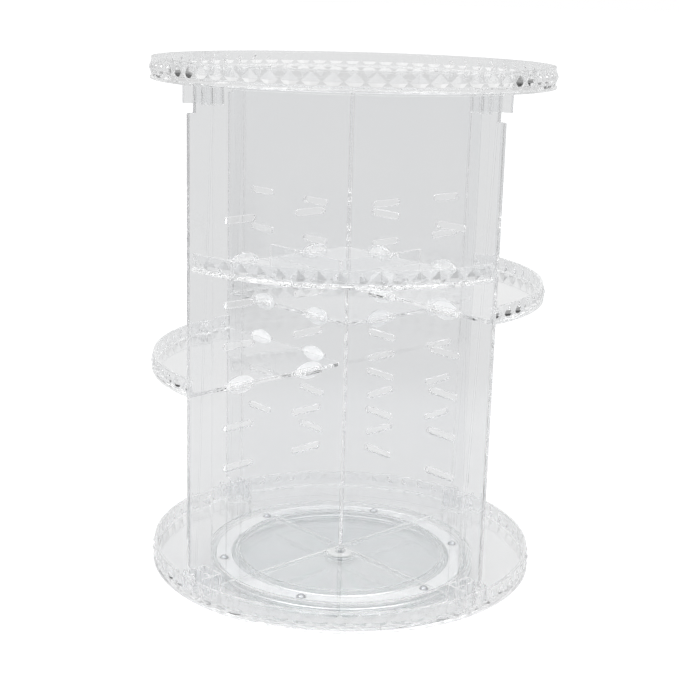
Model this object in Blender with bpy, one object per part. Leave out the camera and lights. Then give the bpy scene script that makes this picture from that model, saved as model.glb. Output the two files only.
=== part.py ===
"""Rotating makeup organizer in clear plastic: a turning base tray with two crossed slotted panels,
four quarter-circle shelves hooked into the slots, and a round tray on top.

Metres, +Z up, the table at z = 0 and the turning axis at the origin. The front is -Y. A quarter is
named by the direction it faces, and a wing of a panel stands between two quarters.
"""

import math

import bmesh
import bpy
from mathutils import Matrix, Vector

MM = 0.001
GAP = 0.3 * MM               # between pieces that touch
EMBED = 0.4 * MM             # how far a joined shape starts inside its neighbour
OVERCUT = 5.0 * MM           # how far a cutter runs past the face that it opens

# Heights above the table
FOOT_HEIGHT = 1.5 * MM
PLATE_BOTTOM = FOOT_HEIGHT
PLATE_THICKNESS = 2.0 * MM
BALL_SPACE = 6.0 * MM        # between the turntable plate and the floor of the base tray
TOP_TRAY_RISE = 285.7 * MM   # from the rim of the base tray to the rim of the top tray

# Floors of the trays and the shelves; the floor of a tray lies above the underside of its rim
FLOOR_RISE = 1.0 * MM
FLOOR_THICKNESS = 2.2 * MM
TRAY_Z = PLATE_BOTTOM + PLATE_THICKNESS + BALL_SPACE - FLOOR_RISE   # underside of the base tray's rim

# Rims with a row of pressed diamonds, which are four-sided pyramids that stand on a corner
RIM_TOP_RADIUS = 113.6 * MM
RIM_LOW_RADIUS = RIM_TOP_RADIUS + 0.8 * MM
BAND_RADIUS = RIM_TOP_RADIUS - 0.3 * MM
RIM_INNER_RADIUS = RIM_TOP_RADIUS - 1.9 * MM
BAND_STEP = 0.5 * MM
RIM_HEIGHT = 12.0 * MM
LOW_BAND = 1.6 * MM
TOP_EDGE = 1.2 * MM
SHELF_RIM_HEIGHT = 9.8 * MM
SHELF_LOW_BAND = 2.1 * MM
SHELF_TOP_EDGE = 0.5 * MM
DIAMOND_RISE = 1.7 * MM
DIAMOND_GAP = 1.0 * MM       # between the side corners of two diamonds
DIAMOND_HALF_HEIGHT = (RIM_HEIGHT - LOW_BAND - TOP_EDGE) / 2
DIAMOND_CUT = SHELF_LOW_BAND + 2 * DIAMOND_HALF_HEIGHT + SHELF_TOP_EDGE - SHELF_RIM_HEIGHT
TRAY_DIAMONDS = 66
TRAY_DIAMOND_PITCH = 2 * math.pi / TRAY_DIAMONDS
SHELF_DIAMOND_PITCH = math.radians(5.35)
SHELF_HALF_DIAMONDS = 8      # diamonds to either side of the middle one

# Crossed panels
PANEL_THICKNESS = 2.2 * MM
EDGE_THICKNESS = 2.8 * MM    # the outer strip of a wing
EDGE_WIDTH = 16.2 * MM
WING_RADIUS = RIM_TOP_RADIUS + 1.6 * MM
WING_END_RADIUS = RIM_INNER_RADIUS - 0.4 * MM   # where the wing stands inside a rim
RIM_CLEARANCE = 3.3 * MM     # between the base rim and the wide part of a wing
SOCKET_CLEARANCE = 4.2 * MM  # between the top sockets and the wide part of a wing
LOW_NOTCH = RIM_HEIGHT + RIM_CLEARANCE          # above the base rim's underside
LAP_HEIGHT = 145.0 * MM
SLOT_COLUMNS = (30.5 * MM, 81.0 * MM)
SLOT_LENGTH = 21.2 * MM
SLOT_HEIGHT = 3.6 * MM
SLOT_ROWS = 7
FIRST_ROW = 73.3 * MM        # above the base rim's underside
ROW_PITCH = 23.42 * MM

# Corner sockets that hold the ends of the wings
SOCKET_LENGTH = 14.2 * MM
SOCKET_END = RIM_INNER_RADIUS + 0.5 * MM
SOCKET_START = SOCKET_END - SOCKET_LENGTH
SOCKET_HALF_WIDTH = 9.0 * MM
SOCKET_WALL = 1.6 * MM
SOCKET_HEIGHT = 11.5 * MM    # above the floor of the base tray
SOCKET_DROP = 10.5 * MM      # below the floor of the top tray
SLIT_HALF_WIDTH = EDGE_THICKNESS / 2 + GAP
HIGH_NOTCH = TOP_TRAY_RISE + FLOOR_RISE - SOCKET_DROP - SOCKET_CLEARANCE

# Quarter shelves
SIDE_PLAY = 0.6 * MM         # between a panel and the side of a shelf
SIDE_OFFSET = PANEL_THICKNESS / 2 + SIDE_PLAY
CORNER_RADIUS = 5.0 * MM
TAB_LENGTH = 13.0 * MM
TAB_INSET = 2.4 * MM         # the tab sits towards the axis, so the shelf can be pulled straight out
TAB_THROUGH = 2.6 * MM
TAB_ROOT = 1.5 * MM          # how far a hook starts inside the shelf
TAB_SHY = 0.1 * MM           # a hook is this much thinner than the floor on each face
COLLAR_LENGTH = 19.0 * MM
COLLAR_HEIGHT = 10.3 * MM
COLLAR_THICKNESS = 1.7 * MM
COLLAR_SHY = 0.1 * MM        # a collar stands this much proud of the shelf's side
COLLAR_EDGE = 0.6 * MM       # the straight part of a collar, before its slope
COLLAR_FACE = 0.72           # share of the collar that its flat face takes
DIVIDER_DISTANCE = 60.0 * MM
DIVIDER_THICKNESS = 1.6 * MM
DIVIDER_INSET = 0.2 * MM     # from the shelf's side and from the top of its rim
SHELF_ROWS = {"front": 5, "right": 4, "back": 3, "left": 2}

# Turntable: ribs on the plate hold the cage in its race, and ribs under the tray run round them
BALL_CIRCLE = 72.5 * MM
BALL_DIAMETER = BALL_SPACE - 2 * GAP
BALLS = 6
FIRST_BALL = math.radians(45.0)
CAGE_INSIDE = 5.1 * MM       # from the balls' circle to the inner edge of the cage
CAGE_OUTSIDE = 4.1 * MM
CAGE_INNER = BALL_CIRCLE - CAGE_INSIDE
CAGE_OUTER = BALL_CIRCLE + CAGE_OUTSIDE
CAGE_THICKNESS = 2.0 * MM
RACE_PLAY = 0.7 * MM
RACE_RIB_WIDTH = 1.5 * MM
RACE_RIB_HEIGHT = (BALL_SPACE - CAGE_THICKNESS) / 2 - GAP
RACE_RIBS = ((CAGE_INNER - RACE_PLAY - RACE_RIB_WIDTH, CAGE_INNER - RACE_PLAY),
             (CAGE_OUTER + RACE_PLAY, CAGE_OUTER + RACE_PLAY + RACE_RIB_WIDTH))
TRAY_RIB_WIDTH = 1.7 * MM
TRAY_RIB_PLAY = 0.9 * MM
TRAY_RIB_LIFT = 2.4 * MM     # from the plate to the ribs under the tray
TRAY_RIB_DEPTH = BALL_SPACE - TRAY_RIB_LIFT
TRAY_RIBS = ((RACE_RIBS[0][0] - TRAY_RIB_PLAY - TRAY_RIB_WIDTH, RACE_RIBS[0][0] - TRAY_RIB_PLAY),
             (RACE_RIBS[1][1] + TRAY_RIB_PLAY, RACE_RIBS[1][1] + TRAY_RIB_PLAY + TRAY_RIB_WIDTH))
PLATE_MARGIN = 0.6 * MM
PLATE_RADIUS = TRAY_RIBS[1][1] + PLATE_MARGIN
FOOT_RADIUS = 6.0 * MM
FOOT_CIRCLE = BALL_CIRCLE
FEET = 6
POST_RADIUS = 3.0 * MM
BOSS_RADIUS = 9.5 * MM
BOSS_HEIGHT = 2.0 * MM
BOSS_WALL = 1.6 * MM
WELL_ROOF = 0.5 * MM         # the well under the boss ends this far above the plate
POST_LIFT = 0.25 * MM        # from the plate's top face to the end of the post
SCREW_SHANK = 1.4 * MM
SCREW_HEAD = 3.4 * MM
SCREW_HEAD_HEIGHT = 1.4 * MM
CROSS_REACH = 1.9 * MM       # the cross recess in the screw's head
CROSS_HALF_WIDTH = 0.35 * MM
CROSS_DEPTH = 0.6 * MM
BORE_ROOF = 1.0 * MM         # plastic left above the screw's bore
SHANK_SHY = 1.0 * MM         # from the screw's end to the end of its bore
WASHER_RADIUS = 6.0 * MM
WASHER_THICKNESS = 0.8 * MM
WASHER_DROP = 0.55 * MM
THRUST_RADIUS = 8.3 * MM
THRUST_TOP = 3.4 * MM        # above the plate
SPOKE_START = BOSS_RADIUS + 1.0 * MM
SPOKE_WIDTH = 2.6 * MM
SPOKE_DEPTH = 1.6 * MM
ROUND_STEPS = 40
COLLAR_STEPS = 12

QUARTERS = {"front": 0.0, "right": 90.0, "back": 180.0, "left": 270.0}
WINGS = (45.0, 135.0, 225.0, 315.0)


def material(name, colour, roughness=0.05, transmission=0.0, metallic=0.0):
    made = bpy.data.materials.new(name)
    made.use_nodes = True
    shader = made.node_tree.nodes["Principled BSDF"]
    shader.inputs["Base Color"].default_value = (*colour, 1.0)
    shader.inputs["Roughness"].default_value = roughness
    shader.inputs["Transmission Weight"].default_value = transmission
    shader.inputs["Metallic"].default_value = metallic
    shader.inputs["IOR"].default_value = 1.49
    return made


def polar(radius, angle, z):
    """A point at an angle from the front, growing towards the right."""
    return (radius * math.sin(angle), -radius * math.cos(angle), z)


def wing_matrix(degrees):
    """Turns +X into the direction of the wing at this angle from the front."""
    return Matrix.Rotation(math.radians(degrees - 90.0), 4, "Z")


def to_object(name, bm, surface=None):
    bmesh.ops.remove_doubles(bm, verts=bm.verts, dist=0.00001)
    bmesh.ops.recalc_face_normals(bm, faces=bm.faces)
    mesh = bpy.data.meshes.new(name)
    bm.to_mesh(mesh)
    bm.free()
    piece = bpy.data.objects.new(name, mesh)
    bpy.context.scene.collection.objects.link(piece)
    if surface:
        mesh.materials.append(surface)
    return piece


def add_prism(bm, outline, low, high, matrix=None):
    """A flat outline of (x, y) points raised from low to high."""
    matrix = matrix or Matrix.Identity(4)
    rings = [[bm.verts.new(matrix @ Vector((x, y, z))) for x, y in outline] for z in (low, high)]
    bm.faces.new(rings[0][::-1])
    bm.faces.new(rings[1])
    for i in range(len(outline)):
        j = (i + 1) % len(outline)
        bm.faces.new((rings[0][i], rings[0][j], rings[1][j], rings[1][i]))


def circle(radius, steps=ROUND_STEPS, centre=(0.0, 0.0)):
    return [(centre[0] + radius * math.cos(2 * math.pi * i / steps),
             centre[1] + radius * math.sin(2 * math.pi * i / steps)) for i in range(steps)]


def rectangle(x0, x1, y0, y1):
    return [(x0, y0), (x1, y0), (x1, y1), (x0, y1)]


def prism(name, outline, low, high, surface=None, matrix=None):
    bm = bmesh.new()
    add_prism(bm, outline, low, high, matrix)
    return to_object(name, bm, surface)


def revolved(name, profile, steps=ROUND_STEPS, surface=None):
    """A closed profile of (radius, z) points, away from the axis, turned about Z."""
    bm = bmesh.new()
    rings = [[bm.verts.new(polar(r, 2 * math.pi * i / steps, z)) for r, z in profile] for i in range(steps)]
    for i in range(steps):
        here, there = rings[i], rings[(i + 1) % steps]
        for k in range(len(profile)):
            n = (k + 1) % len(profile)
            bm.faces.new((here[k], there[k], there[n], here[n]))
    return to_object(name, bm, surface)


def ring(name, inner, outer, low, high, steps=ROUND_STEPS, surface=None):
    return revolved(name, [(inner, low), (outer, low), (outer, high), (inner, high)], steps, surface)


def combine(piece, others, operation="UNION"):
    """Applies an exact Boolean with each other piece in turn, and removes those."""
    for other in others:
        change = piece.modifiers.new("cut", "BOOLEAN")
        change.operation = operation
        change.solver = "EXACT"
        change.object = other
        other.hide_render = True
        other.display_type = "WIRE"
        with bpy.context.temp_override(object=piece, active_object=piece):
            bpy.ops.object.modifier_apply(modifier=change.name)
        mesh = other.data
        bpy.data.objects.remove(other, do_unlink=True)
        bpy.data.meshes.remove(mesh)
    return piece


def cleaned(piece):
    """Joins points that the Booleans left together and drops what that empties."""
    bm = bmesh.new()
    bm.from_mesh(piece.data)
    bmesh.ops.remove_doubles(bm, verts=bm.verts, dist=0.00002)
    bmesh.ops.dissolve_degenerate(bm, edges=bm.edges, dist=0.00002)
    bmesh.ops.dissolve_limit(bm, angle_limit=0.0005, verts=bm.verts, edges=bm.edges)
    bmesh.ops.triangulate(bm, faces=[f for f in bm.faces if len(f.verts) > 4])
    bmesh.ops.recalc_face_normals(bm, faces=bm.faces)
    bm.to_mesh(piece.data)
    bm.free()
    return piece


def face(bm, *corners):
    """A face through its corners, some of which may be the same point."""
    bm.faces.new(list(dict.fromkeys(corners)))


def rim_section(bm, angle, levels, inner_low, end=0.0):
    """The points of one plain cut through a rim. At a shelf's end (-1 or 1) they lie along the side."""
    def point(radius, level):
        a = angle if not end else end * (math.pi / 4 - math.asin(SIDE_OFFSET / radius))
        return bm.verts.new(polar(radius, a, level))

    z, low, middle, high, top = levels
    section = {
        "foot": point(RIM_LOW_RADIUS, z),
        "step": point(RIM_LOW_RADIUS, low - BAND_STEP),
        "under": point(BAND_RADIUS, low),
        "over": point(BAND_RADIUS, high),
        "lip": point(RIM_TOP_RADIUS, high),
        "top": point(RIM_TOP_RADIUS, top),
        "inside": point(RIM_INNER_RADIUS, top),
        "floor": point(RIM_INNER_RADIUS, inner_low),
    }
    if end:
        section["left"] = section["right"] = point(BAND_RADIUS, middle)
    section["foot_left"] = section["foot_right"] = section["under"]
    return section


def add_diamond(bm, section, angle, pitch, levels, cut=0.0, left=None, right=None):
    """A pyramid round one cut. The low band cuts off its lowest corner, and a shelf's end its side corner."""
    low, middle = levels[1:3]
    half = pitch / 2 - DIAMOND_GAP / 2 / BAND_RADIUS
    peak = bm.verts.new(polar(BAND_RADIUS + DIAMOND_RISE, angle, middle))
    section["left"] = left or bm.verts.new(polar(BAND_RADIUS, angle - half, middle))
    section["right"] = right or bm.verts.new(polar(BAND_RADIUS, angle + half, middle))
    if cut:
        share = cut / DIAMOND_HALF_HEIGHT
        section["under"].co = polar(BAND_RADIUS + share * DIAMOND_RISE, angle, low)
        for name, side in (("foot_left", section["left"]), ("foot_right", section["right"])):
            section[name] = bm.verts.new(Vector(polar(BAND_RADIUS, angle, low)).lerp(side.co, share))
            section[name].co.z = low
    face(bm, section["over"], section["left"], peak)
    face(bm, section["over"], peak, section["right"])
    face(bm, section["under"], peak, section["left"], section["foot_left"])
    face(bm, section["under"], section["foot_right"], section["right"], peak)


def rim_faces(bm, one, two):
    """The faces between two cuts, with the flat fields between two diamonds."""
    for a, b in (("foot", "step"), ("over", "lip"), ("lip", "top"), ("top", "inside"), ("inside", "floor")):
        face(bm, one[a], two[a], two[b], one[b])
    face(bm, one["step"], two["step"], two["foot_left"], one["foot_right"])
    for section, foot in ((one, one["foot_right"]), (two, two["foot_left"])):
        if foot is not section["under"]:
            face(bm, section["step"], foot, section["under"])
    face(bm, one["foot_right"], two["foot_left"], two["left"], one["right"])
    face(bm, one["right"], two["left"], two["over"], one["over"])


def round_tray(name, z, surface):
    """A round tray: its rim and its plain floor."""
    bm = bmesh.new()
    floor_top = z + FLOOR_RISE + FLOOR_THICKNESS
    low = z + LOW_BAND
    levels = (z, low, low + DIAMOND_HALF_HEIGHT, low + 2 * DIAMOND_HALF_HEIGHT, z + RIM_HEIGHT)
    angles = [(i + 0.5) * TRAY_DIAMOND_PITCH for i in range(TRAY_DIAMONDS)]
    sections = [rim_section(bm, a, levels, floor_top) for a in angles]
    for section, a in zip(sections, angles):
        add_diamond(bm, section, a, TRAY_DIAMOND_PITCH, levels)
    under = [bm.verts.new(polar(RIM_INNER_RADIUS, a, z)) for a in angles]
    below = [bm.verts.new(v.co + Vector((0, 0, FLOOR_RISE))) for v in under]
    for i in range(TRAY_DIAMONDS):
        j = (i + 1) % TRAY_DIAMONDS
        rim_faces(bm, sections[i], sections[j])
        face(bm, sections[i]["foot"], under[i], under[j], sections[j]["foot"])
        face(bm, under[i], below[i], below[j], under[j])
    bm.faces.new([s["floor"] for s in sections])
    bm.faces.new(below[::-1])
    return to_object(name, bm, surface)


def sockets(z0, z1):
    """Half sockets on both sides of the end of each wing, as one object to be joined to a tray."""
    bm = bmesh.new()
    rib = (SOCKET_START + SOCKET_END) / 2
    for wing in WINGS:
        for side in (-1, 1):
            outline = [(SOCKET_START, SLIT_HALF_WIDTH), (SOCKET_START, SOCKET_HALF_WIDTH),
                       (SOCKET_END, SOCKET_HALF_WIDTH), (SOCKET_END, SOCKET_HALF_WIDTH - SOCKET_WALL),
                       (rib + SOCKET_WALL / 2, SOCKET_HALF_WIDTH - SOCKET_WALL),
                       (rib + SOCKET_WALL / 2, SLIT_HALF_WIDTH), (rib - SOCKET_WALL / 2, SLIT_HALF_WIDTH),
                       (rib - SOCKET_WALL / 2, SOCKET_HALF_WIDTH - SOCKET_WALL),
                       (SOCKET_START + SOCKET_WALL, SOCKET_HALF_WIDTH - SOCKET_WALL),
                       (SOCKET_START + SOCKET_WALL, SLIT_HALF_WIDTH)]
            add_prism(bm, [(x, y * side) for x, y in outline], z0, z1, wing_matrix(wing))
    return to_object("sockets", bm)


def panel(name, wing, slot_from_top, surface):
    """A flat panel through the axis, made of two wings, with its slots and its half-height lap."""
    turn = wing_matrix(wing)
    upright = turn @ Matrix.Rotation(math.pi / 2, 4, "X")
    floor_top = TRAY_Z + FLOOR_RISE + FLOOR_THICKNESS
    bottom = floor_top + GAP
    top = TRAY_Z + TOP_TRAY_RISE + FLOOR_RISE - GAP
    low, high = TRAY_Z + LOW_NOTCH, TRAY_Z + HIGH_NOTCH
    edge_start = WING_RADIUS - EDGE_WIDTH
    half = [(WING_END_RADIUS, bottom), (WING_END_RADIUS, low), (WING_RADIUS, low),
            (WING_RADIUS, high), (WING_END_RADIUS, high), (WING_END_RADIUS, top)]
    outline = half + [(-x, z) for x, z in reversed(half)]
    piece = prism(name, outline, -PANEL_THICKNESS / 2, PANEL_THICKNESS / 2, surface, upright)

    bm = bmesh.new()
    for side in (-1, 1):
        strip = [(side * x, z) for x, z in [(edge_start, bottom)] + half + [(edge_start, top)]]
        add_prism(bm, strip, -EDGE_THICKNESS / 2, EDGE_THICKNESS / 2, upright)
    combine(piece, [to_object("strips", bm)])

    bm = bmesh.new()
    straight, radius = SLOT_LENGTH / 2 - SLOT_HEIGHT / 2, SLOT_HEIGHT / 2
    for side in (-1, 1):
        for column in SLOT_COLUMNS:
            for row in range(SLOT_ROWS):
                z = TRAY_Z + FIRST_ROW + row * ROW_PITCH
                outline = []
                for end in (1, -1):
                    for k in range(5):
                        a = math.radians(-90 + 45 * k) if end == 1 else math.radians(90 + 45 * k)
                        outline.append((side * column + end * straight + radius * math.cos(a),
                                        z + radius * math.sin(a)))
                add_prism(bm, outline, -EDGE_THICKNESS, EDGE_THICKNESS, upright)
    lap = PANEL_THICKNESS / 2 + GAP
    split = TRAY_Z + LAP_HEIGHT
    z0, z1 = (split - GAP / 2, top + OVERCUT) if slot_from_top else (bottom - OVERCUT, split + GAP / 2)
    add_prism(bm, rectangle(-lap, lap, z0, z1), -EDGE_THICKNESS, EDGE_THICKNESS, upright)
    combine(piece, [to_object("slots", bm)], "DIFFERENCE")
    return cleaned(piece)


def shelf(name, quarter, row, surface, divided=False):
    """A quarter-circle shelf: floor, diamond rim, four hooks through the slots, and collars."""
    bm = bmesh.new()
    slot_z = TRAY_Z + FIRST_ROW + row * ROW_PITCH
    z = slot_z - SLOT_HEIGHT / 2 + GAP
    floor_top = z + FLOOR_THICKNESS
    low = z + SHELF_LOW_BAND
    middle = low + DIAMOND_HALF_HEIGHT - DIAMOND_CUT
    levels = (z, low, middle, middle + DIAMOND_HALF_HEIGHT, z + SHELF_RIM_HEIGHT)
    angles = [k * SHELF_DIAMOND_PITCH for k in range(-SHELF_HALF_DIAMONDS, SHELF_HALF_DIAMONDS + 1)]
    sections = [rim_section(bm, a, levels, floor_top) for a in angles]
    ends = [rim_section(bm, 0, levels, floor_top, end) for end in (-1, 1)]
    for section, a in zip(sections, angles):
        add_diamond(bm, section, a, SHELF_DIAMOND_PITCH, levels, DIAMOND_CUT,
                    ends[0]["right"] if section is sections[0] else None,
                    ends[1]["left"] if section is sections[-1] else None)
    sections = [ends[0]] + sections + [ends[1]]
    for one, two in zip(sections, sections[1:]):
        rim_faces(bm, one, two)

    # The rounded corner by the axis, from the right side to the left one
    reach = SIDE_OFFSET + CORNER_RADIUS
    centre = Vector((0.0, -reach * math.sqrt(2), 0.0))
    corner = [centre + CORNER_RADIUS * Vector((math.cos(math.radians(45 + 30 * k)),
                                               math.sin(math.radians(45 + 30 * k)), 0)) for k in range(4)]
    under = [bm.verts.new((p.x, p.y, z)) for p in corner]
    over = [bm.verts.new((p.x, p.y, floor_top)) for p in corner]
    bm.faces.new([s["floor"] for s in sections] + over)
    bm.faces.new(([s["foot"] for s in sections] + under)[::-1])
    for i in range(len(corner) - 1):
        bm.faces.new((under[i], over[i], over[i + 1], under[i + 1]))
    names = ("foot", "step", "under", "left", "over", "lip", "top", "inside", "floor")
    bm.faces.new([sections[-1][n] for n in names] + [over[0], under[0]])
    bm.faces.new([sections[0][n] for n in names[::-1]] + [under[-1], over[-1]])
    piece = to_object(name, bm, surface)

    # Hooks and collars, drawn beside the right-hand wing (+X along it, shelf on its -Y side)
    bm = bmesh.new()
    for side in (1, -1):
        wing = wing_matrix(45.0 * side)
        for column in SLOT_COLUMNS:
            centre_x = column - TAB_INSET
            inner, outer = SIDE_OFFSET + TAB_ROOT, -PANEL_THICKNESS / 2 - TAB_THROUGH
            add_prism(bm, rectangle(centre_x - TAB_LENGTH / 2, centre_x + TAB_LENGTH / 2,
                                    *sorted((-side * inner, -side * outer))),
                      z + TAB_SHY, floor_top - TAB_SHY, wing)
    combine(piece, [to_object("hooks", bm)])
    bm = bmesh.new()
    for side in (1, -1):
        wing = wing_matrix(45.0 * side) @ Matrix.Rotation(math.pi / 2, 4, "X")
        for column in SLOT_COLUMNS:
            rings = []
            for depth, shrink in ((SIDE_OFFSET - COLLAR_SHY, 1.0), (SIDE_OFFSET + COLLAR_EDGE, 1.0),
                                  (SIDE_OFFSET + COLLAR_THICKNESS, COLLAR_FACE)):
                rings.append([bm.verts.new(wing @ Vector((
                    column - TAB_INSET + shrink * COLLAR_LENGTH / 2 * math.cos(2 * math.pi * i / COLLAR_STEPS),
                    slot_z + shrink * COLLAR_HEIGHT / 2 * math.sin(2 * math.pi * i / COLLAR_STEPS),
                    side * depth))) for i in range(COLLAR_STEPS)])
            bm.faces.new(rings[0][::-1])
            bm.faces.new(rings[2])
            for here, there in zip(rings, rings[1:]):
                for i in range(COLLAR_STEPS):
                    j = (i + 1) % COLLAR_STEPS
                    bm.faces.new((here[i], here[j], there[j], there[i]))
    combine(piece, [to_object("collars", bm)])

    if divided:
        t = DIVIDER_THICKNESS / 2
        for side in (1, -1):
            wall = rectangle(DIVIDER_DISTANCE - t, DIVIDER_DISTANCE + t,
                             *sorted((-side * (SIDE_OFFSET + DIVIDER_INSET), -side * (DIVIDER_DISTANCE + t * side))))
            combine(piece, [prism("divider", wall, floor_top - EMBED, z + SHELF_RIM_HEIGHT - DIVIDER_INSET,
                                  None, wing_matrix(45.0 * side))])
    piece.data.transform(Matrix.Rotation(math.radians(QUARTERS[quarter]), 4, "Z"))
    return cleaned(piece)


def base_tray(surface):
    z = TRAY_Z
    floor_low = z + FLOOR_RISE
    floor_top = floor_low + FLOOR_THICKNESS
    piece = round_tray("base_tray", z, surface)
    combine(piece, [sockets(floor_top - EMBED, floor_top + SOCKET_HEIGHT)])
    for inner, outer in TRAY_RIBS:
        combine(piece, [ring("rib", inner, outer, floor_low - TRAY_RIB_DEPTH, floor_low + EMBED)])
    bm = bmesh.new()
    for wing in WINGS:
        add_prism(bm, rectangle(SPOKE_START, TRAY_RIBS[0][0] + EMBED, -SPOKE_WIDTH / 2, SPOKE_WIDTH / 2),
                  floor_low - SPOKE_DEPTH, floor_low + EMBED, wing_matrix(wing))
    combine(piece, [to_object("spokes", bm)])
    post_low = PLATE_BOTTOM + PLATE_THICKNESS + POST_LIFT
    combine(piece, [prism("post", circle(POST_RADIUS, 24), post_low, floor_low + EMBED)])
    combine(piece, [prism("bore", circle(SCREW_SHANK + GAP, 16), post_low - OVERCUT, floor_low - BORE_ROOF)],
            "DIFFERENCE")
    return cleaned(piece)


def top_tray(surface):
    z = TRAY_Z + TOP_TRAY_RISE
    piece = round_tray("top_tray", z, surface)
    combine(piece, [sockets(z + FLOOR_RISE - SOCKET_DROP, z + FLOOR_RISE + EMBED)])
    return cleaned(piece)


def turntable(plastic, milky, steel, rubber, nylon):
    """The plate with its feet, the ball race and the pivot."""
    top = PLATE_BOTTOM + PLATE_THICKNESS
    well_top = top + WELL_ROOF
    plate = prism("turntable_base", circle(PLATE_RADIUS, 64), PLATE_BOTTOM, top, plastic)
    for inner, outer in RACE_RIBS:
        combine(plate, [ring("rib", inner, outer, top - EMBED, top + RACE_RIB_HEIGHT)])
    combine(plate, [prism("boss", circle(BOSS_RADIUS, 32), top - EMBED, top + BOSS_HEIGHT)])
    combine(plate, [prism("well", circle(BOSS_RADIUS - BOSS_WALL, 32), PLATE_BOTTOM - OVERCUT, well_top),
                    prism("hole", circle(POST_RADIUS + GAP, 24), PLATE_BOTTOM, top + OVERCUT)], "DIFFERENCE")
    cleaned(plate)

    for i in range(FEET):
        a = math.radians(30) + 2 * math.pi * i / FEET
        x, y, _ = polar(FOOT_CIRCLE, a, 0)
        prism(f"foot_{i + 1}", circle(FOOT_RADIUS, 20, (x, y)), 0.0, FOOT_HEIGHT - GAP, rubber)

    middle = top + BALL_SPACE / 2
    cage = ring("ball_cage", CAGE_INNER, CAGE_OUTER, middle - CAGE_THICKNESS / 2, middle + CAGE_THICKNESS / 2,
                60, milky)
    bm = bmesh.new()
    for i in range(BALLS):
        a = FIRST_BALL + 2 * math.pi * i / BALLS
        x, y, _ = polar(BALL_CIRCLE, a, 0)
        add_prism(bm, circle(BALL_DIAMETER / 2 + GAP, 12, (x, y)), middle - OVERCUT, middle + OVERCUT)
    combine(cage, [to_object("pockets", bm)], "DIFFERENCE")
    cleaned(cage)
    for i in range(BALLS):
        a = FIRST_BALL + 2 * math.pi * i / BALLS
        bm = bmesh.new()
        bmesh.ops.create_uvsphere(bm, u_segments=10, v_segments=6, radius=BALL_DIAMETER / 2,
                                  matrix=Matrix.Translation(Vector(polar(BALL_CIRCLE, a, middle))))
        to_object(f"ball_{i + 1}", bm, steel)

    ring("thrust_washer", POST_RADIUS + GAP, THRUST_RADIUS, top + BOSS_HEIGHT + GAP, top + THRUST_TOP, 32, nylon)
    washer_top = well_top - WASHER_DROP
    washer_low = washer_top - WASHER_THICKNESS
    ring("pivot_washer", SCREW_SHANK + GAP, WASHER_RADIUS, washer_low, washer_top, 24, steel)
    head_top = washer_low - GAP
    head_low = head_top - SCREW_HEAD_HEIGHT
    shank_top = TRAY_Z + FLOOR_RISE - BORE_ROOF - SHANK_SHY
    screw = prism("pivot_screw", circle(SCREW_HEAD, 20), head_low, head_top, steel)
    combine(screw, [prism("shank", circle(SCREW_SHANK, 12), head_top - EMBED, shank_top)])
    recess = rectangle(-CROSS_REACH, CROSS_REACH, -CROSS_HALF_WIDTH, CROSS_HALF_WIDTH)
    combine(screw, [prism("cross", recess, head_low - OVERCUT, head_low + CROSS_DEPTH, None, wing_matrix(turn))
                    for turn in (0.0, 90.0)], "DIFFERENCE")
    cleaned(screw)


def main():
    for piece in list(bpy.data.objects):
        bpy.data.objects.remove(piece, do_unlink=True)
    clear = material("clear_plastic", (0.95, 0.97, 0.98), 0.03, 1.0)
    plate = material("clear_plate", (0.93, 0.96, 0.97), 0.05, 1.0)
    milky = material("milky_plastic", (0.90, 0.91, 0.92), 0.35)
    nylon = material("white_nylon", (0.92, 0.92, 0.90), 0.4)
    steel = material("bright_steel", (0.75, 0.76, 0.78), 0.12, 0.0, 1.0)
    rubber = material("clear_rubber", (0.80, 0.82, 0.82), 0.5)

    turntable(plate, milky, steel, rubber, nylon)
    base_tray(clear)
    panel("panel_lower", WINGS[0], True, clear)
    panel("panel_upper", WINGS[1], False, clear)
    for quarter, row in SHELF_ROWS.items():
        shelf(f"shelf_{quarter}", quarter, row, clear, divided=quarter == "front")
    top_tray(clear)


main()
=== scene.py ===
"""Looks of the rotating makeup organizer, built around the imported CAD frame.

Each clear moulding is modelled again with its fine form (rounded walls, bevelled diamonds, smooth
arcs), from the CAD nodes' places. Lengths below are in millimetres until they meet MM.
"""

import math

import bmesh
import bpy
from mathutils import Matrix, Vector


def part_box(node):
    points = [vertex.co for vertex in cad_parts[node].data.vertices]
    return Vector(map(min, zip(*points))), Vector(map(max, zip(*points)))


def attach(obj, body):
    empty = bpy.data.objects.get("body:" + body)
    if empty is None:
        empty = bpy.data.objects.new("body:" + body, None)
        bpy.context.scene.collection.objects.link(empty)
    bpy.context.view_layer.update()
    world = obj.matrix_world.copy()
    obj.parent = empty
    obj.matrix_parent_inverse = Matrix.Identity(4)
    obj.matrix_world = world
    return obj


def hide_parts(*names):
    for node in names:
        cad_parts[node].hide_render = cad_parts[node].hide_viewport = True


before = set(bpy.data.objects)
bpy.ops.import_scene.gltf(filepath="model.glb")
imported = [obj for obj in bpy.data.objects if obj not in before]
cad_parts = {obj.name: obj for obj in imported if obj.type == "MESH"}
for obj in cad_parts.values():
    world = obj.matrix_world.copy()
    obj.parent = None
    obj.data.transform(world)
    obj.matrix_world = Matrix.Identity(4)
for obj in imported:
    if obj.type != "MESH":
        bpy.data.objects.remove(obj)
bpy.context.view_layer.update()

MM = 0.001
CLEARANCE = 0.3              # between pieces that touch, as in the CAD
EMBED = 0.4                  # how deep a joined part starts inside its neighbour
OVERCUT = 5.0                # how far a cutter runs past the middle of what it cuts
WELD = 0.005                 # points closer than this become one
BOOLEAN_WELD = 0.002
BOOLEAN_SLIVER = 0.001
ARC_STEP = 15.0              # degrees for each step of a rounded corner
LONGEST_REACH = 0.49         # share of a side that one rounded corner may take
BEVELLED_ANGLE = 40.0        # edges sharper than this are bevelled
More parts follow.
